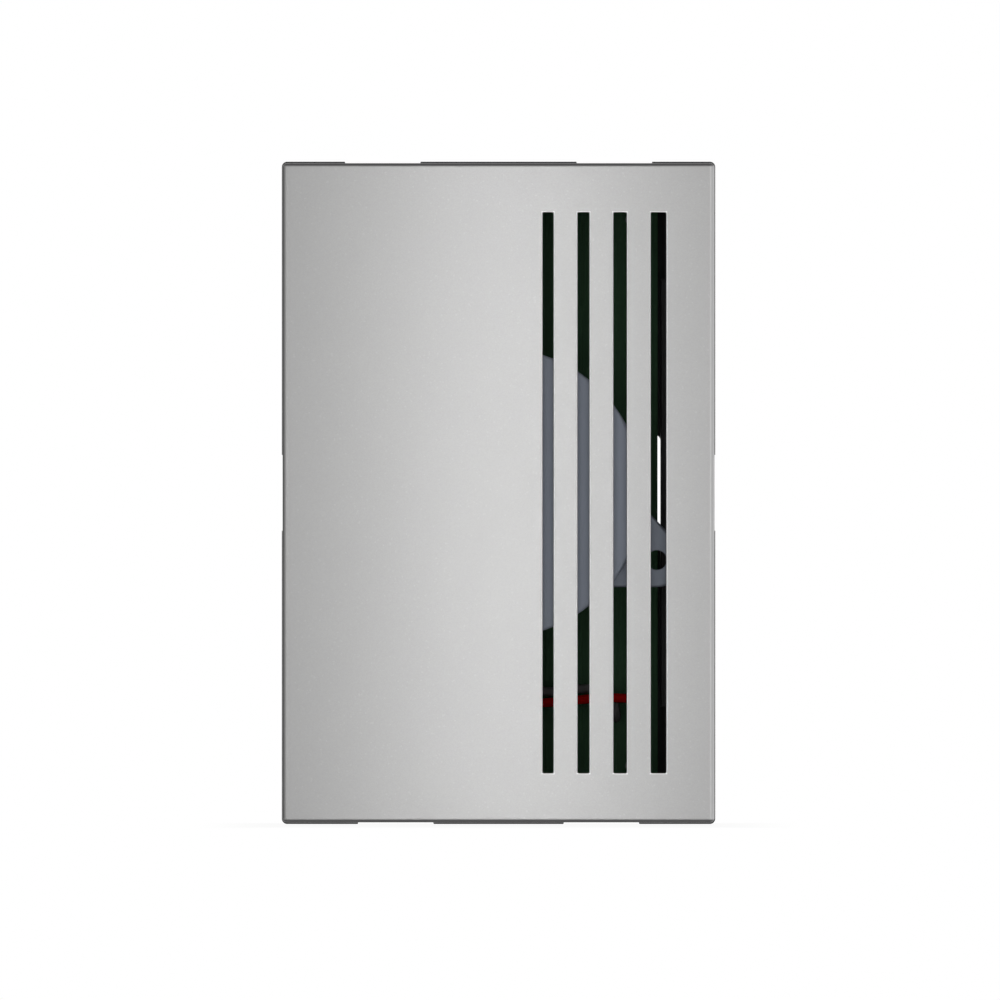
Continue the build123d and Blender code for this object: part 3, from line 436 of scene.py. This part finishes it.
def finish_speaker_works():
    """Magnet, surround, spider, cone, former and coil."""
    ferrite = Finish("ferrite_ceramic", 0.62)
    ferrite.mottle(1.5 * mm, 4.0, grey(0.03), grey(0.06))
    ferrite.bump(ferrite.noise(0.4 * mm, 4.0), 0.02 * mm)
    ferrite.dress("speaker_magnet")

    rubber = Finish("surround_rubber", 0.55, specular=0.35)
    rubber.mottle(1.0 * mm, 2.0, grey(0.018), grey(0.03))
    rubber.bump(rubber.noise(0.3 * mm), 0.01 * mm)
    rubber.dress("speaker_surround")

    spider = Finish("spider_cloth", 0.8, specular=0.2)
    weave = spider.weave(spider_thread)
    spider.colour(spider.mix(weave, rgb(0.42, 0.27, 0.11), rgb(0.6, 0.42, 0.2)))
    spider.bump(weave, 0.04 * mm)
    spider.dress("speaker_spider")

    pulp = Finish("cone_paper", 0.85, specular=0.2)
    pulp.mottle(0.8 * mm, 5.0, grey(0.035), grey(0.075))
    pulp.bump(pulp.noise(0.5 * mm, 4.0), 0.03 * mm)
    pulp.dress("speaker_cone", "dust_cap")

    kraft = Finish("former_kraft", 0.7, specular=0.3)
    kraft.mottle(0.7 * mm, 4.0, rgb(0.46, 0.32, 0.17), rgb(0.6, 0.44, 0.25))
    kraft.dress("voice_coil_former")

    wire = Finish("coil_wire", 0.3, metallic=1.0)
    turn = wire.wave(wire.y, coil_pitch)
    painted_crest_light = wire.math("MULTIPLY_ADD", turn, 0.5, 0.5)
    # Painted highlight on each turn's crest and painted shade in the grooves between turns
    wire.colour(wire.mix(painted_crest_light, rgb(0.42, 0.15, 0.05), rgb(0.72, 0.36, 0.16)))
    wire.bump(turn, 0.05 * mm)
    wire.dress("voice_coil")


def finish_metals():
    """Zinc-plated steel, tinned brass, bright solder and the switch's drawn can."""
    plated = Finish("zinc_plate", 0.34, metallic=1.0)
    plated.mottle(3 * mm, 3.0, rgb(0.42, 0.43, 0.44), rgb(0.56, 0.56, 0.55))
    plated.roughness(plated.blend(plated.noise(0.8 * mm), 0.28, 0.42))
    plated.dress("speaker_yoke", "speaker_top_plate", "board_screws", "cradle_screws", "terminal_screws")

    tin = Finish("tinned_brass", 0.3, metallic=1.0)
    tin.mottle(1.2 * mm, 3.0, rgb(0.55, 0.53, 0.46), rgb(0.7, 0.69, 0.64))
    tin.roughness(tin.blend(tin.noise(0.5 * mm), 0.22, 0.4))
    tin.dress("speaker_tags", "terminal_clamps")

    solder = Finish("bright_solder", 0.22, metallic=1.0)
    solder.mottle(0.6 * mm, 3.0, rgb(0.5, 0.51, 0.53), rgb(0.72, 0.72, 0.73))
    solder.bump(solder.noise(0.7 * mm), 0.05 * mm)
    solder.dress("lead_joints")

    can = Finish("tinned_can", 0.3, metallic=1.0)
    drawn = can.streaks(0.3 * mm, 3.0, 0.08)
    can.colour(can.mix(drawn, rgb(0.5, 0.51, 0.52), rgb(0.68, 0.68, 0.68)))
    can.roughness(can.blend(drawn, 0.22, 0.42))
    can.dress("switch_can")


def finish_mouldings():
    """Cradle, hard paper, terminal block, trimmer and its rotor."""
    nylon = Finish("black_moulding", 0.5)
    nylon.mottle(4 * mm, 2.0, grey(0.02), grey(0.032))
    nylon.bump(nylon.noise(0.4 * mm, 3.0), 0.01 * mm)
    nylon.dress("speaker_cradle", "melody_slider")

    hard_paper = Finish("hard_paper", 0.5)
    grain = hard_paper.streaks(0.5 * mm, 4.0, 0.15)
    hard_paper.colour(hard_paper.mix(grain, rgb(0.16, 0.065, 0.025), rgb(0.27, 0.13, 0.055)))
    hard_paper.bump(grain, 0.02 * mm)
    hard_paper.dress("speaker_tag_strip", "switch_base")

    block = Finish("terminal_green", 0.45)
    block.mottle(3 * mm, 2.0, rgb(0.03, 0.16, 0.07), rgb(0.045, 0.2, 0.09))
    block.bump(block.noise(0.35 * mm, 3.0), 0.012 * mm)
    block.dress("terminal_block")

    trimmer = Finish("trimmer_blue", 0.3)
    trimmer.mottle(2 * mm, 2.0, rgb(0.02, 0.08, 0.26), rgb(0.03, 0.11, 0.34))
    trimmer.bump(trimmer.noise(0.5 * mm), 0.006 * mm)
    trimmer.dress("trimmer_body")

    white = Finish("white_moulding", 0.4)
    white.mottle(1.5 * mm, 2.0, rgb(0.68, 0.68, 0.65), rgb(0.76, 0.76, 0.73))
    white.bump(white.noise(0.4 * mm), 0.006 * mm)
    white.dress("trimmer_rotor")


def finish_lead(name, clean, scuffed):
    """Soft insulation with a faint scuff."""
    insulation = Finish(name + "_insulation", 0.5, specular=0.03)
    scuff = insulation.noise(1.2 * mm, 4.0)
    insulation.colour(insulation.mix(scuff, clean, scuffed))
    insulation.roughness(insulation.blend(scuff, 0.45, 0.6))
    insulation.bump(insulation.noise(0.4 * mm), 0.008 * mm)
    insulation.dress(name)


def finish_package(name, find_legs):
    """Black epoxy whose legs are tinned metal, where find_legs gives 1."""
    package = Finish(name + "_epoxy", 0.5)
    legs = find_legs(package)
    epoxy = package.mix(package.noise(0.6 * mm, 3.0), grey(0.018), grey(0.03))
    package.colour(package.mix(legs, epoxy, rgb(0.6, 0.6, 0.58)))
    package.metallic(legs)
    package.bump(package.noise(0.25 * mm, 3.0), 0.012 * mm)
    package.dress(name)


def finish_chip(name):
    """A chip has its legs above, below and behind its body."""
    low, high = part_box(name)

    def legs(package):
        beside = package.over(package.off(package.z, (low.z + high.z) / 2), chip_half + leg_clearance)
        behind = package.over(package.y, high.y - chip_standoff + leg_clearance)
        return package.most(beside, behind)

    finish_package(name, legs)


def finish_standing(name, standoff):
    """A package that stands off the board on its legs."""
    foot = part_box(name)[1].y - standoff + leg_clearance
    finish_package(name, lambda package: package.over(package.y, foot))


def finish_resistors():
    """Tan lacquer with colour bands, and bare wire ends."""
    low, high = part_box("resistors")
    tan = Finish("resistor_lacquer", 0.3)
    along = tan.less(tan.x, (low.x + high.x) / 2)
    skin = tan.mix(tan.noise(0.8 * mm), rgb(0.5, 0.34, 0.17), rgb(0.58, 0.42, 0.23))
    bands = (
        (-2.3, rgb(0.16, 0.04, 0.012)),
        (-1.1, rgb(0.01, 0.01, 0.01)),
        (0.1, rgb(0.5, 0.05, 0.01)),
        (2.2, rgb(0.45, 0.27, 0.06)),
    )
    for place, band in bands:
        skin = tan.mix(tan.near(along, place * mm, band_half), skin, band)
    ends = tan.over(tan.off(along, 0.0), resistor_half)
    tan.colour(tan.mix(ends, skin, rgb(0.6, 0.6, 0.58)))
    tan.metallic(ends)
    tan.dress("resistors")


def finish_cans(name, axes, radius, height):
    """Sleeved capacitors: a dark sleeve with a dashed pale stripe, and bare metal on top."""
    can = Finish(name + "_sleeve", 0.28)
    reach = None
    stripe = None
    for x, z in axes:
        aside = can.math("POWER", can.less(can.x, x), 2.0)
        along = can.math("POWER", can.less(can.z, z), 2.0)
        distance = can.math("SQRT", can.math("ADD", aside, along))
        here = can.times(can.under(can.off(can.z, z), 0.42 * radius), can.under(can.x, x - 0.5 * radius))
        here = can.times(here, can.under(distance, 1.2 * radius))
        reach = distance if reach is None else can.math("MINIMUM", reach, distance)
        stripe = here if stripe is None else can.most(stripe, here)
    on_top = can.under(can.y, board_low.y - height + can_top_depth)
    bare = can.times(can.under(reach, 0.78 * radius), on_top)
    dash = can.near(can.math("FRACT", can.math("DIVIDE", can.y, dash_pitch)), 0.5, 0.22)
    pale = can.mix(can.times(dash, 0.85), rgb(0.36, 0.38, 0.42), rgb(0.03, 0.035, 0.05))
    sleeve = can.mix(can.noise(2 * mm), rgb(0.012, 0.016, 0.035), rgb(0.018, 0.025, 0.05))
    sleeve = can.mix(stripe, sleeve, pale)
    can.colour(can.mix(bare, sleeve, rgb(0.36, 0.36, 0.37)))
    can.metallic(bare)
    can.roughness(can.blend(bare, 0.28, 0.36))
    can.dress(name)


def finish_large_can():
    low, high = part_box("smoothing_capacitor")
    axis = ((low.x + high.x) / 2, (low.z + high.z) / 2)
    finish_cans("smoothing_capacitor", [axis], (high.x - low.x) / 2, board_low.y - low.y)


def finish_small_cans():
    """Three stand in a column by the chips, and one beside the top one."""
    low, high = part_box("small_capacitors")
    chip_low, chip_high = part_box("sound_chip")
    column_x = high.x - small_can_radius
    top_z = high.z - small_can_radius
    axes = [
        (column_x, low.z + small_can_radius),
        (column_x, (chip_low.z + chip_high.z) / 2),
        (column_x, top_z),
        (low.x + small_can_radius, top_z),
    ]
    finish_cans("small_capacitors", axes, small_can_radius, board_low.y - low.y)


add_camera()
lamps = add_lights()
add_world()
clear_lights_of(add_floor(), lamps)

finish_cover()
finish_plate()
finish_board()
finish_speaker_front()
finish_speaker_works()
finish_metals()
finish_mouldings()
finish_lead("lead_red", rgb(0.88, 0.003, 0.003), rgb(0.94, 0.004, 0.004))
finish_lead("lead_black", grey(0.235), grey(0.265))
finish_chip("sound_chip")
finish_chip("amplifier_chip")
finish_standing("rectifier", rectifier_standoff)
finish_standing("regulator", regulator_standoff)
finish_resistors()
finish_large_can()
finish_small_cans()
